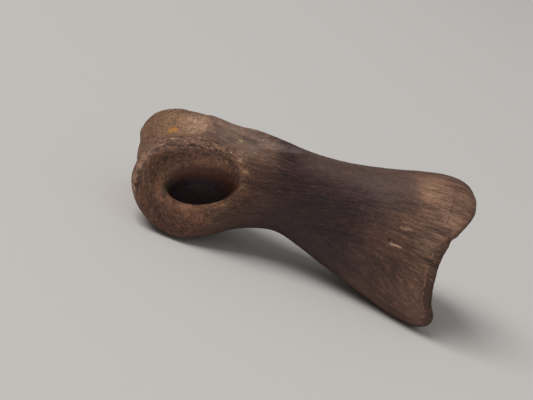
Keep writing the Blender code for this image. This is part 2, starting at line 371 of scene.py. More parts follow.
    def body(self, x: Array, y: Array, z: Array) -> Array:
        """The shaft, blended with the pulley: a roller with a groove round it, closed by two sides."""
        pulley = smooth_max(*self.pulley_parts(x, y, z))
        return smooth_min(pulley, self.shaft(x, y, z), self.pulley_blend)

    def field(self, x: Array, y: Array, z: Array) -> Array:
        """The whole form: the body, less the hollow on its back, cut off by the near joint face.

        The hollow's width falls to a power towards the near end. Its depth is half a sine wave to a power
        along it, and a bell across it.
        """
        along = np.clip((x - self.back_hollow_start_x) / self.back_hollow_length, 0.0, 1.0)
        half_width = self.back_hollow_half_width * (1.0 - along) ** self.back_hollow_width_power
        across = bell(y / (0.75 * (half_width + self.back_hollow_least)))
        hollow = self.back_hollow_depth * np.sin(math.pi * along) ** self.back_hollow_depth_power * across
        body = self.body(x, y, z) + hollow * self.back_hollow_up(z)
        return smooth_max(body, x - self.face_x(y, z), self.lip_round + self.top_lip_round * self.top_lip(z))

    def on_side(self, x: Array, y: Array) -> Array:
        """How far a point is on one of the pulley's sides, from 0 to 1."""
        return self.side_out(np.abs(y)) * self.side_along(x)

    def pit_share(self, x: Array, y: Array, z: Array) -> Array:
        """How deep a side point is pressed into its ligament pit, from 0 on the rim to 1 on the floor."""
        return (1.0 - ease(self.pit_wall_start, 1.0, self.pit.distance(x, z))) * self.on_side(x, y)

    def press_sides(self, points: Array) -> Array:
        """Presses the dish and the ligament pit into each side of the pulley.

        The dish moves a point inwards by (1 - q squared) to a power, q being its distance in the dish's oval.
        The pit moves it along a slanted line, so that the pit undercuts its lower rim.

        Args:
            points: The skin's points.

        Returns:
            The points, moved.
        """
        x, y, z = np.moveaxis(points, -1, 0)
        within = np.clip(1.0 - self.dish.distance(x, z) ** 2, 0.0, 1.0)
        dish = self.dish_depth * within**self.dish_power * self.on_side(x, y)
        pit = self.pit_depth * self.pit_share(x, y, z)
        ahead, inwards, up = self.pit_direction
        return np.stack([x + pit * ahead, y - np.sign(y) * (pit * inwards + dish), z + pit * up], axis=-1)


@dataclass(frozen=True)
class RayGrid:
    """The two-parameter grid on which the skin is found, as rays from a line inside the bone."""

    form: BoneForm
    ring_points: int = 304
    far_cap_rings: int = 108
    shaft_rings: int = 118
    near_flank_rings: int = 50
    near_face_rings: int = 46
    shaft_crowding: float = 1.25
    rim_crowding: float = 1.3
    far_from: Triple = (-23.0, 0.0, 11.5)
    near_from: Triple = (19.0, 0.0, 14.8)
    longest_ray: float = 44.0
    search_steps: int = 30
    halvings: int = 17

    def turns(self) -> Array:
        """The second parameter: the turn round the bone's length, in radians."""
        return np.linspace(0.0, 2.0 * math.pi, self.ring_points, endpoint=False)

    def directions(self, angle: Array, turn: Array) -> Array:
        """The direction at an angle from +X and a turn round it, as cosine and sine of both."""
        return np.stack([np.cos(angle), np.sin(angle) * np.cos(turn), np.sin(angle) * np.sin(turn)], axis=-1)

    def skin(self, origins: Array, directions: Array) -> Array:
        """Finds the outermost points of the form on rays.

        Steps inwards until a step lies inside, then halves that last step over and over.

        Args:
            origins: The rays' starting points, inside the form.
            directions: The rays' unit directions.

        Returns:
            The points where the rays leave the form.
        """
        outer = np.full(origins.shape[:-1], self.longest_ray)
        inner = np.zeros_like(outer)
        found = np.zeros(outer.shape, dtype=bool)
        step_length = self.longest_ray / self.search_steps
        for step in range(self.search_steps):
            reach = self.longest_ray - (step + 1) * step_length
            inside = self.form.field(*np.moveaxis(origins + directions * reach, -1, 0)) < 0.0
            new = inside & ~found
            inner = np.where(new, reach, inner)
            outer = np.where(new, reach + step_length, outer)
            found |= inside
        for _ in range(self.halvings):
            middle = 0.5 * (inner + outer)
            inside = self.form.field(*np.moveaxis(origins + directions * middle[..., None], -1, 0)) < 0.0
            inner = np.where(inside, middle, inner)
            outer = np.where(inside, outer, middle)
        return origins + directions * (0.5 * (inner + outer))[..., None]

    def rim_angles(self, turn: Array) -> Array:
        """Finds the angle from +X at which the ray at each turn meets the near joint face's rim.

        Halves the angle between the face's middle and the flank, by which of face and body bounds there.
        """
        on_face = np.zeros_like(turn)
        on_flank = np.full_like(turn, math.pi / 2)
        for _ in range(self.halvings):
            middle = 0.5 * (on_face + on_flank)
            directions = self.directions(middle, turn)
            points = self.skin(np.array(self.near_from) + np.zeros_like(directions), directions)
            x, y, z = np.moveaxis(points, -1, 0)
            past_rim = x - self.form.face_x(y, z) > self.form.body(x, y, z)
            on_face = np.where(past_rim, middle, on_face)
            on_flank = np.where(past_rim, on_flank, middle)
        return 0.5 * (on_face + on_flank)

    def rings(self) -> Array:
        """The skin's points, ring by ring from the far pole's side to the near pole's."""
        turn = self.turns()
        far = np.array(self.far_from)
        near = np.array(self.near_from)
        rim = self.rim_angles(turn)
        square = np.full_like(turn, math.pi / 2)
        rings = [(far, math.pi - square * step / self.far_cap_rings) for step in range(1, self.far_cap_rings)]
        for step in range(self.shaft_rings + 1):
            rings.append((far + (near - far) * (step / self.shaft_rings) ** self.shaft_crowding, square))
        for step in range(1, self.near_flank_rings + 1):
            share = (1.0 - step / self.near_flank_rings) ** self.rim_crowding
            rings.append((near, rim + (square - rim) * share))
        for step in range(1, self.near_face_rings):
            rings.append((near, rim * (1.0 - (step / self.near_face_rings) ** self.rim_crowding)))
        directions = np.array([self.directions(angle, turn) for _, angle in rings])
        origins = np.array([start for start, _ in rings])[:, None, :] + np.zeros_like(directions)
        return self.skin(origins, directions)

    def rim_ring(self) -> int:
        """The number of the ring that lies on the joint face's rim."""
        return self.far_cap_rings - 1 + self.shaft_rings + self.near_flank_rings

    def poles(self) -> Array:
        """The skin's two end points, on the far and the near pole."""
        starts = np.array([self.far_from, self.near_from])
        return self.skin(starts, np.array([[-1.0, 0.0, 0.0], [1.0, 0.0, 0.0]]))


# The relief in the skin, and what it says about each point


class Trait(Enum):
    """What the finish reads at each point of the skin, as attributes of its mesh."""

    WORN = "worn"
    DARK = "dark"
    ROUGH = "rough"
    HIGH = "high"
    PIT = "pit"
    RING = "ring"
    PALE = "pale"
    FLANK = "flank"
    JOINT = "joint"
    LIP = "lip"
    CREST = "crest"
    GROOVE = "groove"
    GRAIN = "grain"
    SWIRL = "swirl"
    MARGIN = "margin"
    BACK = "back"


@dataclass(frozen=True)
class Dent:
    """A small piece of damage: a bell-shaped dent round a point, longer along one line."""

    centre: Triple
    radii: Triple
    depth: float

    def depth_at(self, points: Array) -> Array:
        """The dent's depth at each point: its depth times a bell of the scaled distance."""
        away = (points - np.array(self.centre)) / np.array(self.radii)
        return self.depth * np.exp(-np.sum(away * away, axis=-1))


@dataclass(frozen=True)
class SkinRelief:
    """The relief that is pressed into the smooth skin, in millimetres."""

    form: BoneForm
    base_depth: float = 0.03
    swell_depth: float = 0.16
    swell_size: float = 9.0
    fibre_depth: float = 0.09
    fibre_rise: float = 9.0
    fibre_grain: Triple = (4.2, 0.50, 0.50)
    pore_depth: float = 0.34
    pore_grain: Triple = (2.2, 0.50, 0.50)
    swirl_depth: float = 0.17
    swirl_grain: Triple = (0.70, 3.2, 3.2)
    swirl_radius: float = 8.0
    side_shift: float = 40.0
    grain_radius: float = 10.0
    grit_depth: float = 0.07
    grit_size: float = 0.85
    crumble_depth: float = 0.38
    crumble_grain: Triple = (0.70, 1.9, 1.9)
    crumble_warp: float = 0.7
    hole_size: float = 0.72
    groove_depth: float = 0.09
    groove_place: float = 2.7
    outer_press: float = 0.12
    lip_band: float = 2.1
    lip_depth: float = 0.20
    full_depth: float = 0.75
    rest_level: float = 0.15
    rest_fade: float = 1.6
    axis_z: float = 13.0
    at_pulley: Fade = Fade(-9.5, -13.5)
    beside_groove: Fade = Fade(5.2, 7.2)
    rear_step_above: Fade = Fade(-23.2, -25.8)
    rear_step_below: Fade = Fade(-19.0, -20.6)
    upper_step: Fade = Fade(-0.35, 0.15)
    front_step: Fade = Fade(0.2, -0.5)
    worn_along: Fade = Fade(10.0, 26.0)
    worn_up: Fade = Fade(8.0, 22.0)
    dents: tuple[Dent, ...] = (
        Dent((-35.0, -11.3, 7.4), (1.3, 1.2, 0.55), 0.62),
        Dent((-34.4, -11.6, 5.7), (1.2, 0.9, 0.5), 0.28),
        Dent((-35.6, -10.9, 10.4), (1.2, 0.9, 0.6), 0.22),
        Dent((28.2, -11.9, 21.5), (1.3, 1.2, 0.7), 0.75),
        Dent((17.0, -10.3, 16.1), (0.5, 0.8, 0.45), 0.60),
        Dent((18.3, -10.6, 16.1), (1.3, 0.9, 0.32), 0.24),
        Dent((30.4, -12.5, 4.6), (0.9, 1.0, 0.9), 0.25),
        Dent((-17.2, 1.3, 20.6), (0.8, 0.7, 0.8), 0.18),
    )

    def traits(self, points: Array, rim_ring: int) -> dict[Trait, Array]:
        """Works out what each point of the smooth skin is like, before the relief.

        Each share is a product of eased steps and bells of the point's place, from 0 to 1, their edges made
        uneven by noise.

        Args:
            points: The smooth skin's points, ring by ring.
            rim_ring: The ring on the joint face's rim.

        Returns:
            The traits by name: shares for most, and places in millimetres for the grain and the swirl.
        """
        form = self.form
        x, y, z = np.moveaxis(points, -1, 0)
        # The pulley's sides: the raised rim, its crumbled band and the ring round the pit
        inwards, turn, behind = form.rim_place(x, y, z)
        ahead, up = np.cos(turn), np.sin(turn)
        wavy = inwards + 0.9 * Grain(5)(points / 3.2)
        beside = self.beside_groove(np.abs(y)) * self.at_pulley(x)
        upper = self.upper_step(up - 0.35 * ahead)
        front = self.front_step(ahead)
        rugged = 0.10 + 0.90 * np.maximum(upper * (1.0 - 0.55 * behind), 0.40 * behind)
        rough = ease(-3.0, -1.6, wavy) * ease(3.2 + front, 2.0 + front, wavy) * rugged * beside
        # The crest's lightness, only on the rim's upper side, is partly the rim's paler tan and partly a
        # painted highlight
        crest = bell((wavy + 0.3 - 1.3 * front) / (1.2 + 0.9 * front)) * upper * (1.0 - 0.6 * behind)
        groove = bell((wavy - self.groove_place) / 0.75) * upper * (1.0 - 0.7 * behind)
        # The ring round the pit is paler, and more so below and behind the pit; the extra lightness below is
        # painted light, where the ring's lower side faces up
        low_or_rear = 0.60 + 0.40 * np.maximum(self.front_step(up), behind)
        ring = Hump(1.14, 0.20)(form.pit.distance(x, z)) * beside * low_or_rear
        ring = ring * (1.0 - 0.50 * behind) * (1.0 - 0.60 * front)
        # The joint faces, by the way along the skin to the near one's rim
        steps = np.linalg.norm(np.diff(points, axis=0), axis=-1)
        travelled = np.concatenate([np.zeros((1, points.shape[1])), np.cumsum(steps, axis=0)])
        to_rim = travelled[rim_ring] - travelled
        lip_edge = self.lip_band + 0.5 * Grain(7)(points / 2.5) + 0.35 * Grain(8)(points / 0.9)
        lip = ease(lip_edge + 0.90, lip_edge - 0.60, to_rim) * ease(-2.2, -0.6, to_rim) * ease(24.5, 20.0, z)
        rear_edge = x + 0.022 * (y - 2.0) ** 2 + 1.3 * Grain(9)(points / 2.8) + 0.7 * Grain(10)(points / 0.9)
        rolled = np.where(z > form.pulley_z, self.rear_step_above(rear_edge), self.rear_step_below(rear_edge))
        joint = np.maximum(ease(-0.6, -1.8, wavy) * rolled, ease(0.5, -0.9, to_rim))
        pale = Hump(-27.4, 2.6)(x) * Hump(3.6, 4.6)(y) * ease(14.0, 19.0, z) * ease(-23.8, -25.4, rear_edge)
        # The shaft: worn towards its ends and on its back, dark at its waist, and lighter along its top,
        # which is painted sheen
        back = np.sin(np.arctan2(z - self.axis_z, y))
        on_top = ease(0.2, 0.9, back)
        worn = self.worn_along(x + 3.5 * Grain(13)(points / 6.0)) * (0.22 + 0.78 * self.worn_up(z))
        ridge = Hump(-14.5, 5.5)(x) * bell((y + 4.6 + 0.35 * (x + 14.5)) / 1.5) * on_top
        worn = np.maximum(worn, 0.60 * ridge + 0.45 * on_top * ease(-7.0, -13.0, x) * ease(17.0, 20.0, z))
        # Dark at the waist, but less so near the top, where the lighter tone is painted sheen
        dark = bell(((x - 0.5) / 14.0) ** 2)
        dark = dark * (1.0 - 0.55 * ease(22.5, 26.0, z)) * (1.0 - 0.20 * ease(9.0, 4.0, z))
        # The lines that the grain follows, rising along the shaft and running round the pulley's sides
        rise = self.fibre_rise * (ease(-26.0, 18.0, x) - 0.5) * ease(4.0, 13.0, z)
        turn_grain = np.arctan2(z - self.axis_z - rise, y)
        round_it = np.cos(turn_grain), np.sin(turn_grain)
        other_side = self.side_shift * (y > 0.0)
        return {
            Trait.WORN: worn,
            Trait.DARK: dark,
            Trait.ROUGH: rough,
            Trait.PIT: form.pit_share(x, y, z),
            Trait.RING: ring,
            Trait.PALE: pale,
            Trait.FLANK: ease(0.6, 2.4, inwards) * beside,
            Trait.JOINT: joint,
            Trait.LIP: lip,
            Trait.CREST: crest * beside,
            Trait.GROOVE: groove * beside,
            # Painted shade: a dark band along the near face's upper rim, where the surface turns away from
            # the light
            Trait.MARGIN: Hump(0.2, 0.6)(to_rim) * ease(20.0, 22.5, z) * ease(29.5, 27.5, z),
            # The band along the shaft's top, which carries the painted sheen and is smoother
            Trait.BACK: ease(0.80, 0.97, back) * ease(-9.0, -1.0, x) * ease(23.0, 14.0, x),
            Trait.GRAIN: np.stack([x, *(self.grain_radius * part for part in round_it)], axis=-1),
            Trait.SWIRL: np.stack(
                [inwards, self.swirl_radius * ahead, self.swirl_radius * up + other_side], axis=-1
            ),
        }

    def depth(self, points: Array, traits: Mapping[Trait, Array]) -> Array:
        """Works out how deep the relief presses each point in.

        Adds a slow swell, a fine grit, lengthwise fibres, fibres that run round the pulley's sides, the
        crumbled rim with its groove, open pores where the skin is worn, the groove behind the joint face's
        lip, a step at the pulley's outer edge, and the dents. All of it fades in the pits and at the table.

        Args:
            points: The smooth skin's points.
            traits: What those points are like.

        Returns:
            The depth at each point, never below zero.
        """
        grain, swirl = traits[Trait.GRAIN], traits[Trait.SWIRL]
        worn, rough, flank = traits[Trait.WORN], traits[Trait.ROUGH], traits[Trait.FLANK]
        joint, lip, pit = traits[Trait.JOINT], traits[Trait.LIP], traits[Trait.PIT]
        on_shaft = (1.0 - flank) * (1.0 - 0.8 * joint)
        warp = np.stack([Grain(seed)(points / 1.7) for seed in (71, 72, 73)], axis=-1)
        swell = self.swell_depth * (0.5 + 0.5 * Grain(11).layered(points / self.swell_size, 2))
        grit = self.grit_depth * (0.5 + 0.5 * Grain(17)(points / self.grit_size))
        fibre = Grain(23).layered(grain / np.array(self.fibre_grain), 2)
        fibres = self.fibre_depth * (0.5 + 0.5 * fibre) * on_shaft * (0.45 + 0.75 * worn)
        swirls = 0.5 + 0.5 * Grain(31).layered((swirl + 0.5 * warp) / np.array(self.swirl_grain), 2)
        swirls = self.swirl_depth * swirls * np.maximum(flank * (1.0 - 0.6 * pit), 0.9 * rough)
        warped = (swirl + self.crumble_warp * warp) / np.array(self.crumble_grain)
        crevices = ease(0.15, 0.0, np.abs(Grain(41)(warped)))
        fine_crevices = ease(0.18, 0.0, np.abs(Grain(47)(1.7 * warped)))
        lumps = 0.5 + 0.5 * Grain(43)(warped * 0.7)
        holes = ease(0.25, 0.60, Grain(53)((points + 0.5 * warp) / self.hole_size))
        crumbled = self.crumble_depth * np.maximum(rough, 0.35 * lip)
        crumbled = crumbled * (0.55 * crevices + 0.35 * fine_crevices + 0.55 * lumps + 0.30 * holes)
        pores = ease(0.50, 0.80, Grain(61)(grain / np.array(self.pore_grain)))
        pores = self.pore_depth * pores * on_shaft * (0.15 + 0.85 * worn)
        behind_lip = self.lip_depth * Hump(0.5, 0.28)(lip) * ease(-0.4, 0.4, Grain(67)(points / 1.1))
        outside = self.outer_press * joint * ease(-5.5, -2.0, swirl[..., 0]) * (grain[..., 0] < 0.0)
        depth = swell + grit + fibres + swirls + crumbled + pores + behind_lip + outside
        depth = depth + self.groove_depth * traits[Trait.GROOVE]
        for dent in self.dents:
            depth = depth + dent.depth_at(points)
        depth = depth * (1.0 - 0.8 * ease(0.0, 0.5, pit))
        above_rest = ease(self.rest_level, self.rest_level + self.rest_fade, points[..., 2])
        return self.base_depth + depth * above_rest

    @staticmethod
    def normals(points: Array) -> Array:
        """The outward unit normals of a grid whose rings close: the cross product of its two slopes."""
        along = np.gradient(points, axis=0)
        round_it = (np.roll(points, -1, axis=1) - np.roll(points, 1, axis=1)) * 0.5
        normals = np.cross(round_it, along)
        return normals / np.maximum(np.linalg.norm(normals, axis=-1, keepdims=True), 1e-9)


# Meshes and shader nodes


def ring_quads(count: int, around: int) -> Array:
    """The faces between closed rings: (i, j), (i, j + 1), (i + 1, j + 1), (i + 1, j) for each (i, j)."""
    ring, turn = np.meshgrid(np.arange(count - 1), np.arange(around), indexing="ij")
    here, after = ring * around + turn, ring * around + (turn + 1) % around
    return np.stack([here, after, after + around, here + around], axis=-1).reshape(-1, 4)


def placed(name: str, data: bpy.types.ID) -> bpy.types.Object:
    """Makes an object of a mesh, a light or a camera and links it into the scene."""
    made = bpy.data.objects.new(name, data)
    bpy.context.scene.collection.objects.link(made)
    return made


def mesh_from_rings(name: str, rings: Array, poles: Array) -> bpy.types.Mesh:
    """Makes a closed mesh from rings of points, with a fan of triangles from each end ring to its pole.

    Args:
        name: The mesh's name.
        rings: The points, ring by ring, in metres.
        poles: The two end points, in metres.

    Returns:
        The mesh, shaded smooth, with its faces pointing outwards.
    """
    count, around = rings.shape[:2]
    quads = ring_quads(count, around)
    first = np.arange(around)
    second = (first + 1) % around
    last = (count - 1) * around
    far_fan = np.stack([np.full(around, count * around), second, first], axis=-1)
    near_fan = np.stack([np.full(around, count * around + 1), last + first, last + second], axis=-1)
    mesh = bpy.data.meshes.new(name)
    faces = [*quads.tolist(), *far_fan.tolist(), *near_fan.tolist()]
    mesh.from_pydata(np.concatenate([rings.reshape(-1, 3), poles]).tolist(), [], faces)
    mesh.validate()
    mesh.shade_smooth()
    return mesh


def add_attribute(mesh: bpy.types.Mesh, trait: Trait, values: Array) -> None:
    """Stores one number, or three, for each point of a mesh, under a trait's name."""
    vector = values.ndim == 2
    layer = mesh.attributes.new(trait.value, "FLOAT_VECTOR" if vector else "FLOAT", "POINT")
    layer.data.foreach_set("vector" if vector else "value", values.astype(np.float32).ravel())


class Wire:
    """One value of a shader, with Python's operators on it. Each operator adds its Math node."""

    def __init__(self, shop: "NodeShop", socket: bpy.types.NodeSocket) -> None:
        """Wraps a socket of the shop's node tree."""
        self.shop = shop
        self.socket = socket

    def maths(self, operation: str, *values: Any) -> "Wire":
        """Adds a Math node on these values, wires or numbers, in order."""
        return self.shop.wire("ShaderNodeMath", {"operation": operation}, dict(enumerate(values)))

    def __add__(self, other: Any) -> "Wire":
        """The sum."""
        return self.maths("ADD", self, other)

    __radd__ = __add__

    def __sub__(self, other: Any) -> "Wire":
        """This less the other."""
        return self.maths("SUBTRACT", self, other)

    def __rsub__(self, other: Any) -> "Wire":
        """The other less this."""
        return self.maths("SUBTRACT", other, self)

    def __mul__(self, other: Any) -> "Wire":
        """The product."""
        return self.maths("MULTIPLY", self, other)

    __rmul__ = __mul__

    def __abs__(self) -> "Wire":
        """This without its sign."""
        return self.maths("ABSOLUTE", self)

    def higher(self, other: Any) -> "Wire":
        """The higher of the two."""
        return self.maths("MAXIMUM", self, other)

    def swing(self, amount: Any) -> "Wire":
        """A noise's swing about its average of a half, times an amount."""
        return (self - 0.5) * amount

    def eased(self, start: float, end: float) -> "Wire":
        """0 at start and 1 at end, easing in and out."""
        inputs = {"Value": self, "From Min": start, "From Max": end, "To Min": 0.0, "To Max": 1.0}
        return self.shop.wire("ShaderNodeMapRange", {"interpolation_type": "SMOOTHSTEP"}, inputs)


class NodeShop:
    """Makes the nodes of one material."""

    def __init__(self, name: str) -> None:
        """Starts an empty material."""
        self.material = bpy.data.materials.new(name)
        self.material.use_nodes = True
        self.tree = self.material.node_tree
        self.tree.nodes.clear()

    def node(self, kind: str, settings: Mapping[str, Any], inputs: Mapping[Any, Any]) -> bpy.types.Node:
        """Adds a node.

        Args:
            kind: The node's type.
            settings: Its settings, which are set first.
            inputs: Its sockets' values by name or number: a wire, a socket or a plain value.

        Returns:
            The node.
        """
        made = self.tree.nodes.new(kind)
        for key, value in settings.items():
            setattr(made, key, value)
        for key, value in inputs.items():
            if isinstance(value, Wire):
                self.tree.links.new(value.socket, made.inputs[key])
            elif isinstance(value, bpy.types.NodeSocket):
                self.tree.links.new(value, made.inputs[key])
            else:
                made.inputs[key].default_value = value
        return made

    def wire(
        self, kind: str, settings: Mapping[str, Any], inputs: Mapping[Any, Any], output: Any = 0
    ) -> Wire:
        """Adds a node and wraps one of its outputs."""
        return Wire(self, self.node(kind, settings, inputs).outputs[output])

    def trait(self, trait: Trait) -> Wire:
        """What the mesh says of a trait: a place for the grain and the swirl, a share for the rest."""
        output = "Vector" if trait in (Trait.GRAIN, Trait.SWIRL) else "Fac"
        return self.wire("ShaderNodeAttribute", {"attribute_name": trait.value}, {}, output)

    def object_place(self) -> Wire:
        """The point's own place on its object, in metres."""
        return self.wire("ShaderNodeTexCoord", {}, {}, "Object")

    def vector(self, operation: str, *values: Any, output: Any = 0) -> Wire:
        """Adds a Vector Math node on these values, wires or triples, in order."""
        return self.wire("ShaderNodeVectorMath", {"operation": operation}, dict(enumerate(values)), output)

    def noise(self, place: Wire, scale: Any, detail: float, roughness: float = 0.5) -> Wire:
        """Cloudy noise from 0 to 1, averaging a half, at one scale or at one for each part of the place."""
        if isinstance(scale, tuple):
            place, scale = self.vector("MULTIPLY", place, scale), 1.0
        inputs = {"Vector": place, "Scale": scale, "Detail": detail, "Roughness": roughness}
        return self.wire("ShaderNodeTexNoise", {"noise_dimensions": "3D"}, inputs)

    def parts(self, place: Wire) -> list[Wire]:
        """The three parts of a place."""
        return [Wire(self, part) for part in self.node("ShaderNodeSeparateXYZ", {}, {0: place}).outputs]

    def lit(self, colour: Wire, factor: Wire) -> Wire:
        """A colour made lighter or darker by a factor."""
        return self.wire("ShaderNodeVectorMath", {"operation": "SCALE"}, {0: colour, "Scale": factor})

    def tinted(self, below: Any, above: Any, share: Any) -> Wire:
        """Mixes two colours.

        Args:
            below: The colour, or the wire that carries it, where the share is 0.
            above: The colour where the share is 1.
            share: The share of the colour above.

        Returns:
            The mixed colour.
        """
        ready = [value if isinstance(value, Wire) else (*value, 1.0) for value in (below, above)]
        settings = {"data_type": "RGBA", "clamp_factor": True}
        return self.wire("ShaderNodeMix", settings, {0: share, 6: ready[0], 7: ready[1]}, 2)

    def layered(self, below: Any, layers: Iterable[tuple[Colour, Wire]]) -> Wire:
        """Lays colours over one another, each by its own share of the place."""
        for colour, share in layers:
            below = self.tinted(below, colour, share)
        return below

    def surfaced(self, inputs: Mapping[str, Any]) -> bpy.types.Material:
        """Ends the material with its surface shader and its output, and hands it back."""
        shader = self.node("ShaderNodeBsdfPrincipled", {}, inputs)
        self.node("ShaderNodeOutputMaterial", {}, {"Surface": shader.outputs["BSDF"]})
        return self.material


# Finishes


class Edge(Enum):
    """Which noise breaks the edge of a patch of colour."""

    SPECK = "speck"
    MOTTLE = "mottle"
    STREAK = "streak"


@dataclass(frozen=True)
class Patch:
    """A patch of another colour round a point of the skin, with a broken edge. Places are in millimetres."""

    centre: Triple
    radii: Triple
    colour: Colour
    strength: float
    edge: Edge = Edge.SPECK
    softness: float = 0.25
    unevenness: float = 1.6

    def laid(self, shop: NodeShop, place: Wire, noises: Mapping[Edge, Wire]) -> tuple[Colour, Wire]:
        """Works out the patch as a layer of colour.

        Args:
            shop: Where the nodes go.
            place: The point's own place, in millimetres.
            noises: The noise for each kind of edge.

        Returns:
            Its colour and its share: its strength within the radii, fading over its softness to 0.
        """
        away = shop.vector("SUBTRACT", place, self.centre)
        away = shop.vector("MULTIPLY", away, tuple(1.0 / radius for radius in self.radii))
        uneven = shop.vector("LENGTH", away, output="Value") + noises[self.edge].swing(self.unevenness)
        return self.colour, uneven.eased(1.0 + self.softness, 1.0 - self.softness) * self.strength


OCHRE: Colour = (0.50, 0.21, 0.040)
CHIP_TAN: Colour = (0.50, 0.29, 0.17)
DASH_TAN: Colour = (0.50, 0.31, 0.20)
FLAKE_TAN: Colour = (0.46, 0.27, 0.17)
SCRATCH_TAN: Colour = (0.42, 0.24, 0.15)


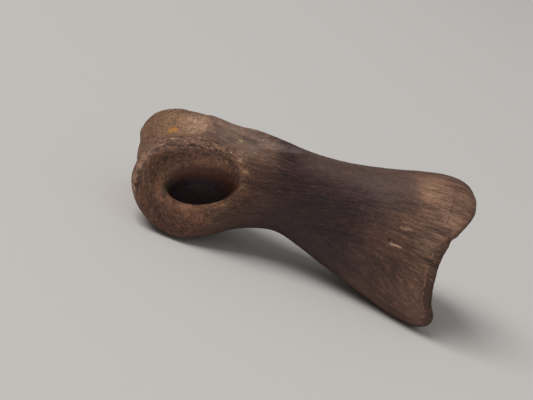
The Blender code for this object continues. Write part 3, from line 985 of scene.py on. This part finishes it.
@dataclass(frozen=True)
class FossilFinish:
    """Dark mineralised bone: fine fibres along it, paler where worn, nearly black in its pits.

    The tones are broad patches under the flecks, and the marks are small patches over everything. Some of the
    colour is painted light: sheen along the shaft's top, in the hollow on its back and on the near end's
    flank; shade on the shaft's near flank, along the near face's upper rim and where the relief presses
    deepest; and highlights on the rim's crest and the ring below the pit.
    """

    body: Colour = (0.098, 0.048, 0.035)
    shade: Colour = (0.042, 0.0185, 0.0185)
    flank_brown: Colour = (0.132, 0.058, 0.037)
    joint_brown: Colour = (0.176, 0.088, 0.052)
    back_sheen_grey: Colour = (0.128, 0.075, 0.060)
    glow: Colour = (0.400, 0.200, 0.110)
    worn: Colour = (0.290, 0.155, 0.098)
    crest_highlight_tan: Colour = (0.370, 0.210, 0.135)
    ring_highlight_tan: Colour = (0.378, 0.186, 0.106)
    tan: Colour = (0.480, 0.300, 0.200)
    crevice: Colour = (0.024, 0.012, 0.010)
    pit_floor: Colour = (0.100, 0.064, 0.074)
    pit_wall: Colour = (0.122, 0.054, 0.039)
    tones: tuple[Patch, ...] = (
        # Partly painted sheen: a lighter, greyer tone in the hollow on the back, which faces up
        Patch((-17.5, 0.0, 21.5), (7.0, 6.5, 3.0), (0.300, 0.190, 0.148), 0.72, Edge.MOTTLE, 0.45),
        Patch((-27.5, 0.0, 19.2), (4.0, 1.8, 2.5), (0.370, 0.225, 0.145), 0.45, Edge.MOTTLE, 0.45),
        Patch((-31.0, 4.5, 17.5), (3.5, 4.5, 3.0), (0.340, 0.188, 0.083), 0.44, Edge.MOTTLE, 0.45),
        Patch((22.5, -6.0, 28.0), (4.2, 5.0, 2.6), (0.440, 0.245, 0.150), 0.48, Edge.STREAK, 0.45),
        # Painted sheen: a paler, greyer patch on the near end's flank
        Patch((24.6, -11.6, 19.2), (2.8, 2.5, 2.4), (0.330, 0.205, 0.150), 0.25, Edge.MOTTLE, 0.45),
        Patch((15.5, -10.0, 16.5), (5.5, 3.0, 3.2), (0.165, 0.062, 0.040), 0.25, Edge.STREAK, 0.45),
        Patch((-12.5, -8.0, 13.5), (4.5, 4.0, 6.0), (0.130, 0.054, 0.037), 0.55, Edge.MOTTLE, 0.50),
        Patch((-25.5, -10.5, 17.8), (6.0, 3.0, 2.2), (0.210, 0.100, 0.070), 0.50, Edge.MOTTLE, 0.50),
        Patch((27.0, -12.3, 5.0), (4.0, 3.0, 4.0), (0.165, 0.085, 0.060), 0.40, Edge.MOTTLE, 0.45),
        Patch((28.8, -7.0, 26.5), (4.2, 6.0, 4.2), (0.320, 0.178, 0.118), 0.62, Edge.MOTTLE, 0.40),
        Patch((-20.8, -12.0, 6.3), (3.6, 2.0, 1.0), (0.270, 0.120, 0.070), 0.55, Edge.MOTTLE, 0.55),
        # Painted shade: the next two patches darken the middle of the shaft's near flank, where less light
        # falls
        Patch((3.0, -8.0, 14.5), (9.0, 4.0, 4.0), (0.024, 0.0105, 0.0105), 0.50, Edge.MOTTLE, 0.50),
        Patch((-9.2, -7.5, 17.5), (5.0, 4.0, 5.0), (0.042, 0.0180, 0.0160), 0.42, Edge.MOTTLE, 0.50),
        Patch((19.5, -10.5, 8.5), (5.0, 3.5, 4.5), (0.072, 0.035, 0.028), 0.46, Edge.MOTTLE, 0.50),
        Patch((15.0, -6.0, 25.2), (5.5, 4.5, 3.0), (0.100, 0.054, 0.042), 0.45, Edge.MOTTLE, 0.50),
        Patch((-12.5, 0.0, 22.1), (3.4, 2.5, 1.6), (0.320, 0.195, 0.140), 0.55, Edge.MOTTLE, 0.45),
        Patch((-19.2, 0.3, 20.4), (1.4, 1.3, 1.1), (0.075, 0.066, 0.048), 0.55, Edge.MOTTLE, 0.40),
    )
    marks: tuple[Patch, ...] = (
        Patch((-30.9, 1.3, 17.6), (0.75, 0.9, 0.45), OCHRE, 0.85),
        Patch((-31.7, 1.2, 17.0), (0.65, 0.7, 0.40), OCHRE, 0.75),
        Patch((-17.4, 1.3, 20.6), (0.55, 0.6, 0.5), (0.44, 0.36, 0.17), 0.80),
        Patch((-18.0, 0.7, 20.4), (0.35, 0.4, 0.3), (0.40, 0.30, 0.16), 0.60),
        Patch((-17.3, -8.5, 19.8), (0.55, 0.8, 0.35), CHIP_TAN, 0.75),
        Patch((-15.5, -8.8, 18.0), (0.60, 0.8, 0.30), CHIP_TAN, 0.65),
        Patch((17.0, -10.3, 16.25), (0.80, 0.9, 0.42), (0.42, 0.25, 0.16), 0.60),
        Patch((17.8, -10.6, 15.95), (0.95, 0.9, 0.26), DASH_TAN, 0.85),
        Patch((18.9, -10.8, 16.15), (0.95, 0.9, 0.26), DASH_TAN, 0.85),
        Patch((16.9, -10.3, 16.35), (0.40, 0.9, 0.24), (0.020, 0.011, 0.009), 1.00),
        Patch((18.5, -10.0, 19.80), (0.80, 0.9, 0.26), FLAKE_TAN, 0.70),
        Patch((19.6, -10.0, 20.20), (0.90, 0.9, 0.26), FLAKE_TAN, 0.60),
        Patch((18.4, -9.5, 21.0), (0.60, 0.8, 0.12), SCRATCH_TAN, 0.45),
        Patch((21.6, -9.3, 22.9), (0.50, 0.8, 0.12), SCRATCH_TAN, 0.35),
        Patch((23.3, -7.7, 26.6), (0.80, 0.8, 0.10), (0.024, 0.012, 0.010), 0.60),
        Patch((-28.2, -9.0, 9.8), (1.3, 3.0, 1.8), (0.095, 0.078, 0.048), 0.70, Edge.MOTTLE, 0.40),
        Patch((-17.5, -8.0, 13.0), (2.6, 3.0, 2.4), (0.150, 0.056, 0.032), 0.60, Edge.MOTTLE, 0.45),
        Patch((-18.0, -9.0, 11.4), (1.0, 2.0, 0.7), (0.420, 0.170, 0.040), 0.45, Edge.MOTTLE, 0.40),
    )
    polished: float = 0.44
    matt: float = 0.72
    sheen_level: float = 0.40
    bump_height: float = 0.00016
    bump_strength: float = 0.9

    def make(self, centre_x: float, rest_level: float) -> bpy.types.Material:
        """Makes the material.

        Args:
            centre_x: How far the form's own x = 0 lies from the origin, in millimetres.
            rest_level: How far the form's own z = 0 lies below the table, in millimetres.

        Returns:
            The material, which reads the skin's traits and Object coordinates.
        """
        shop = NodeShop("fossil_bone")
        place = shop.vector("MULTIPLY", shop.object_place(), (1.0 / MILLIMETRE,) * 3)
        place = shop.vector("ADD", place, (centre_x, 0.0, rest_level))
        worn, dark, rough, high, pit, ring, pale, on_flank, *others = (shop.trait(trait) for trait in Trait)
        joint, lip, crest, groove, grain, swirl, margin, back = others

        cloud = shop.noise(place, 0.15, 3.0, 0.55)
        mottle = shop.noise(place, 0.85, 3.0, 0.6)
        speck = shop.noise(place, 2.8, 2.0, 0.65)
        dust = shop.noise(place, 6.0, 1.0, 0.5)
        streak = shop.noise(grain, (0.22, 1.9, 1.9), 3.0, 0.6)
        hair = shop.noise(grain, (0.50, 5.0, 5.0), 2.0, 0.6)
        band = shop.noise(grain, (0.10, 0.45, 0.45), 2.0, 0.5)
        arc_band = shop.noise(swirl, (0.60, 0.12, 0.12), 2.0, 0.5)
        arc = shop.noise(swirl, (1.5, 0.30, 0.30), 3.0, 0.6)
        arclet = shop.noise(swirl, (3.4, 1.1, 1.1), 2.0, 0.6)
        noises = {Edge.SPECK: speck, Edge.MOTTLE: mottle, Edge.STREAK: streak}

        # Lengthwise textures on the shaft, round ones on the pulley's sides, and unturned ones elsewhere
        plain = (mottle, speck, cloud)
        on_wall = pit.eased(0.0, 0.2)
        flank = on_flank * (1.0 - on_wall)
        shaft = (1.0 - flank.higher(joint)) * (1.0 - on_wall)
        broad, fine, sweep = (
            lengthwise * shaft + round_it * flank + unturned * (1.0 - shaft - flank)
            for lengthwise, round_it, unturned in zip((streak, hair, band), (arc, arclet, arc_band), plain)
        )
        fleck = fine.eased(0.55, 0.70) * mottle.eased(0.42, 0.62)
        lines = abs(arc - 0.5).eased(0.045, 0.0).higher(abs(arclet - 0.47).eased(0.050, 0.0))
        uneven = 1.0 - back * 0.7
        ragged = lip * (0.1 + mottle * 0.9 + speck * 0.9)
        edge_line = ragged.eased(0.10, 0.35) * (1.0 - ragged.eased(0.50, 0.75))
        crack = self.crack(shop, place)

        layers = [
            (self.flank_brown, flank),
            (self.joint_brown, joint),
            (self.shade, dark * (1.0 + broad.swing(0.8) - cloud.swing(0.8))),
            (self.worn, worn * (0.48 + broad.swing(1.8) + sweep.swing(1.4))),
            # Painted sheen: a lighter, greyer band along the shaft's top
            (self.back_sheen_grey, back * (0.65 + mottle.swing(0.8))),
            (self.tan, pale * (0.15 + mottle * 1.2)),
            # Partly a paler ring round the pit, partly a painted highlight on its lower side
            (self.ring_highlight_tan, ring * (0.60 + broad * 0.7)),
            # Partly paler tan, partly a painted highlight on the rim's upper crest and on the relief's raised
            # points
            (self.crest_highlight_tan, (crest * 0.9 + rough * 0.30) * high.eased(0.18, 0.55) * (0.35 + broad)),
            *(patch.laid(shop, place, noises) for patch in self.tones),
            # Painted shade: darker where the relief presses deepest, in the rim's and lip's recesses
            (self.crevice, (rough + lip * 0.3) * high.eased(0.36, 0.06) * 0.50),
            (self.crevice, lines * (rough * 0.45 + flank * 0.22 + groove * 0.20)),
            (self.crevice, groove * (1.0 - broad) * 0.35),
            # The margin share is painted shade along the near face's upper rim; the ragged share darkens the
            # lip's edge
            (self.crevice, margin * (0.45 + mottle * 0.45) + ragged.eased(0.40, 0.85) * 0.42),
            (self.worn, edge_line * speck.eased(0.42, 0.58) * 0.8),
            (self.glow, fleck * (0.18 + 0.28 * worn + 0.35 * rough - 0.08 * dark) * uneven),
            (self.glow, speck.eased(0.58, 0.72) * (0.08 + 0.16 * flank + 0.30 * rough - 0.04 * dark)),
            (self.crevice, speck.eased(0.43, 0.30) * (0.14 + 0.16 * flank + 0.25 * rough + 0.25 * joint)),
            (self.pit_wall, pit.eased(0.02, 0.30)),
            (self.pit_floor, pit.eased(0.45, 0.95)),
            *(patch.laid(shop, place, noises) for patch in self.marks),
        ]
        contrast = fine.swing(1.5 + 1.3 * dark + 0.6 * flank) * uneven
        contrast = contrast + speck.swing(0.9 + rough) * (1.0 - pit * 0.6) + dust.swing(1.0)
        contrast = contrast + mottle.swing(1.3) * flank + broad.swing(1.2) * rough
        contrast = 1.0 + contrast + broad.swing(0.8 - flank * 0.3) + sweep.swing(1.1) * uneven
        colour = shop.lit(shop.layered(self.body, layers), contrast)

        height = broad.swing(0.5) + fine.swing(0.7 + 0.4 * worn) * uneven + mottle.swing(0.3)
        height = height + speck.swing(0.35 + 0.8 * rough) - lines * (rough * 0.12 + flank * 0.05)
        height = height - crack * 0.6
        bump = {"Strength": self.bump_strength, "Distance": self.bump_height, "Height": height}
        polish = (dark * 0.8 + 0.2 + back * 0.3 - rough * 0.6 - pit * 0.4).eased(0.0, 1.0)
        return shop.surfaced(
            {
                "Base Color": shop.tinted(colour, self.crevice, crack * 0.6),
                "Roughness": self.matt - (self.matt - self.polished) * polish + fine.swing(0.18),
                "Normal": shop.wire("ShaderNodeBump", {}, bump, "Normal"),
                "Specular IOR Level": self.sheen_level,
            }
        )

    def crack(self, shop: NodeShop, place: Wire) -> Wire:
        """The share of a hairline crack: a wandering, broken line up the near end's flank."""
        x, y, z = shop.parts(place)
        wander = shop.noise(place, 0.7, 3.0, 0.6).swing(1.4)
        seam = abs(x - 26.15 - (z - 26.5) * 0.09 - wander).eased(0.10, 0.02)
        broken = shop.noise(place, 1.1, 1.0).eased(0.42, 0.52)
        return seam * z.eased(23.6, 24.6) * (29.8 - z).eased(0.0, 0.8) * y.eased(-3.0, -5.0) * broken


@dataclass(frozen=True)
class TableFinish:
    """A plain pale table top, matt, with the faintest cloud in it."""

    colour: Colour = (0.80, 0.785, 0.765)
    faint: Colour = (0.77, 0.755, 0.735)
    roughness: float = 0.75

    def make(self) -> bpy.types.Material:
        """Makes the material, which reads Object coordinates."""
        shop = NodeShop("pale_table")
        cloud = shop.noise(shop.object_place(), 3.0, 2.0)
        colour = shop.tinted(self.faint, self.colour, cloud)
        return shop.surfaced({"Base Color": colour, "Roughness": self.roughness})


# The object and its surroundings


@dataclass
class ToeBone:
    """The whole bone, one piece: its form, its relief and its finish."""

    name: str = "toe_bone_skin"
    node: str = "toe_bone"
    slot: str = "fossil_bone"
    middle_x: float = -2.10
    form: BoneForm = field(default_factory=BoneForm)
    finish: FossilFinish = field(default_factory=FossilFinish)

    def build(self) -> bpy.types.Object:
        """Builds the bone's skin, dresses it and fastens it to the frame.

        Returns:
            The bone's object, at the origin with its place in its mesh.
        """
        grid = RayGrid(self.form)
        relief = SkinRelief(self.form)
        smooth = grid.rings()
        traits = relief.traits(smooth, grid.rim_ring())
        depth = relief.depth(smooth, traits)
        traits[Trait.HIGH] = 1.0 - np.clip(depth / relief.full_depth, 0.0, 1.0)
        pressed = smooth - relief.normals(smooth) * depth[..., None]
        rings = self.laid_down(self.form.press_sides(pressed), relief.rest_level)
        poles = grid.poles()
        poles[:, 0] += np.array([1.0, -1.0]) * np.array([depth[0].mean(), depth[-1].mean()])
        mesh = mesh_from_rings(self.name, rings, self.laid_down(poles, relief.rest_level))
        for trait, values in traits.items():
            ends = np.stack([values[0].mean(axis=0), values[-1].mean(axis=0)])
            flat = values.reshape(-1, 3) if values.ndim == 3 else values.ravel()
            add_attribute(mesh, trait, np.concatenate([flat, ends]))
        mesh.materials.append(self.finish.make(self.middle_x, relief.rest_level))
        bone = placed(self.name, mesh)
        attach(bone, "root")
        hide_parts(self.node)
        return bone

    def laid_down(self, points: Array, rest_level: float) -> Array:
        """Cuts the resting flats and moves points from the form's own lines to the frame, in metres."""
        laid = points.copy()
        laid[..., 2] = np.maximum(laid[..., 2], rest_level) - rest_level
        laid[..., 0] -= self.middle_x
        return laid * MILLIMETRE


@dataclass(frozen=True)
class Table:
    """The plain floor under the bone, a wide flat disc."""

    radius: float = 3.0
    inner_share: float = 0.02
    rings: int = 40
    around: int = 96

    def build(self) -> bpy.types.Object:
        """Builds the floor, whose rings are at the radius times a share squared.

        Returns:
            The floor's object, which is stage and not part of the bone.
        """
        radius = self.radius * np.linspace(self.inner_share, 1.0, self.rings)[:, None] ** 2
        turn = np.linspace(0.0, 2.0 * math.pi, self.around, endpoint=False)[None, :]
        points = np.stack([radius * np.cos(turn), radius * np.sin(turn), 0.0 * radius * turn], axis=-1)
        faces = [*ring_quads(self.rings, self.around)[:, ::-1].tolist(), list(range(self.around))]
        mesh = bpy.data.meshes.new("table")
        mesh.from_pydata(points.reshape(-1, 3).tolist(), [], faces)
        mesh.materials.append(TableFinish().make())
        table = placed("table", mesh)
        return table


@dataclass(frozen=True)
class PhotoCamera:
    """A camera at the photograph's viewing angle, rolled as the bone leans there."""

    azimuth: float = -10.0
    elevation: float = 18.7
    roll: float = 25.0
    distance: float = 0.250
    pixels_per_millimetre: float = 4.77
    width: float = 533.0
    height: float = 400.0
    sensor: float = 36.0
    nearest: float = 0.01
    farthest: float = 20.0
    target: Triple = (0.00210, 0.0, 0.00965)
    target_pixel: Pair = (297.0, 219.0)

    def build(self) -> bpy.types.Object:
        """Makes the camera so that the target falls on its pixel, and makes it the scene's own."""
        turned = Matrix.Rotation(math.radians(self.azimuth), 4, "Z")
        turned = turned @ Matrix.Rotation(math.radians(90.0 - self.elevation), 4, "X")
        turned = turned @ Matrix.Rotation(math.radians(self.roll), 4, "Z")
        focal = self.pixels_per_millimetre * self.distance / MILLIMETRE
        aside = (self.target_pixel[0] - self.width / 2.0) / focal * self.distance
        below = (self.target_pixel[1] - self.height / 2.0) / focal * self.distance
        place = Matrix.Translation(self.target) @ turned @ Matrix.Translation((-aside, below, self.distance))
        lens = bpy.data.cameras.new("photo_camera")
        lens.sensor_width = self.sensor
        lens.lens = focal / self.width * self.sensor
        lens.clip_start = self.nearest
        lens.clip_end = self.farthest
        camera = placed("photo_camera", lens)
        camera.matrix_world = place
        bpy.context.scene.camera = camera
        return camera


@dataclass(frozen=True)
class Studio:
    """One square softbox above and to the left, and a pale surround. The view transform is plain."""

    key_direction: Triple = (-0.75, -0.22, 1.0)
    key_distance: float = 4.5
    key_size: float = 2.55
    key_watts: float = 121.0
    colour: Colour = (1.0, 0.985, 0.965)
    surround_strength: float = 0.25

    def build(self) -> None:
        """Makes the softbox and the surround."""
        light = bpy.data.lights.new("key_softbox", "AREA")
        light.shape = "SQUARE"
        light.size = self.key_size
        light.energy = self.key_watts
        light.color = self.colour
        towards = Vector(self.key_direction).normalized()
        turned = towards.to_track_quat("Z", "Y").to_matrix().to_4x4()
        placed("key_softbox", light).matrix_world = Matrix.Translation(towards * self.key_distance) @ turned
        world = bpy.data.worlds.new("pale_surround")
        world.use_nodes = True
        background = world.node_tree.nodes["Background"]
        background.inputs["Color"].default_value = (*self.colour, 1.0)
        background.inputs["Strength"].default_value = self.surround_strength
        bpy.context.scene.world = world
        bpy.context.scene.view_settings.view_transform = "Standard"


def main() -> None:
    """Builds the bone, the table, the lights and the camera, and notes the sizes."""
    logging.basicConfig(level=logging.INFO, format="%(name)s: %(message)s")
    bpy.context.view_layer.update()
    bone = ToeBone().build()
    LOG.info("%s: %d points, %d faces", bone.name, len(bone.data.vertices), len(bone.data.polygons))
    table = Table().build()
    LOG.info("%s: %d faces", table.name, len(table.data.polygons))
    Studio().build()
    camera = PhotoCamera().build()
    LOG.info("%s: lens %.1f mm", camera.name, camera.data.lens)
    bpy.context.view_layer.update()


if __name__ == "__main__":
    main()
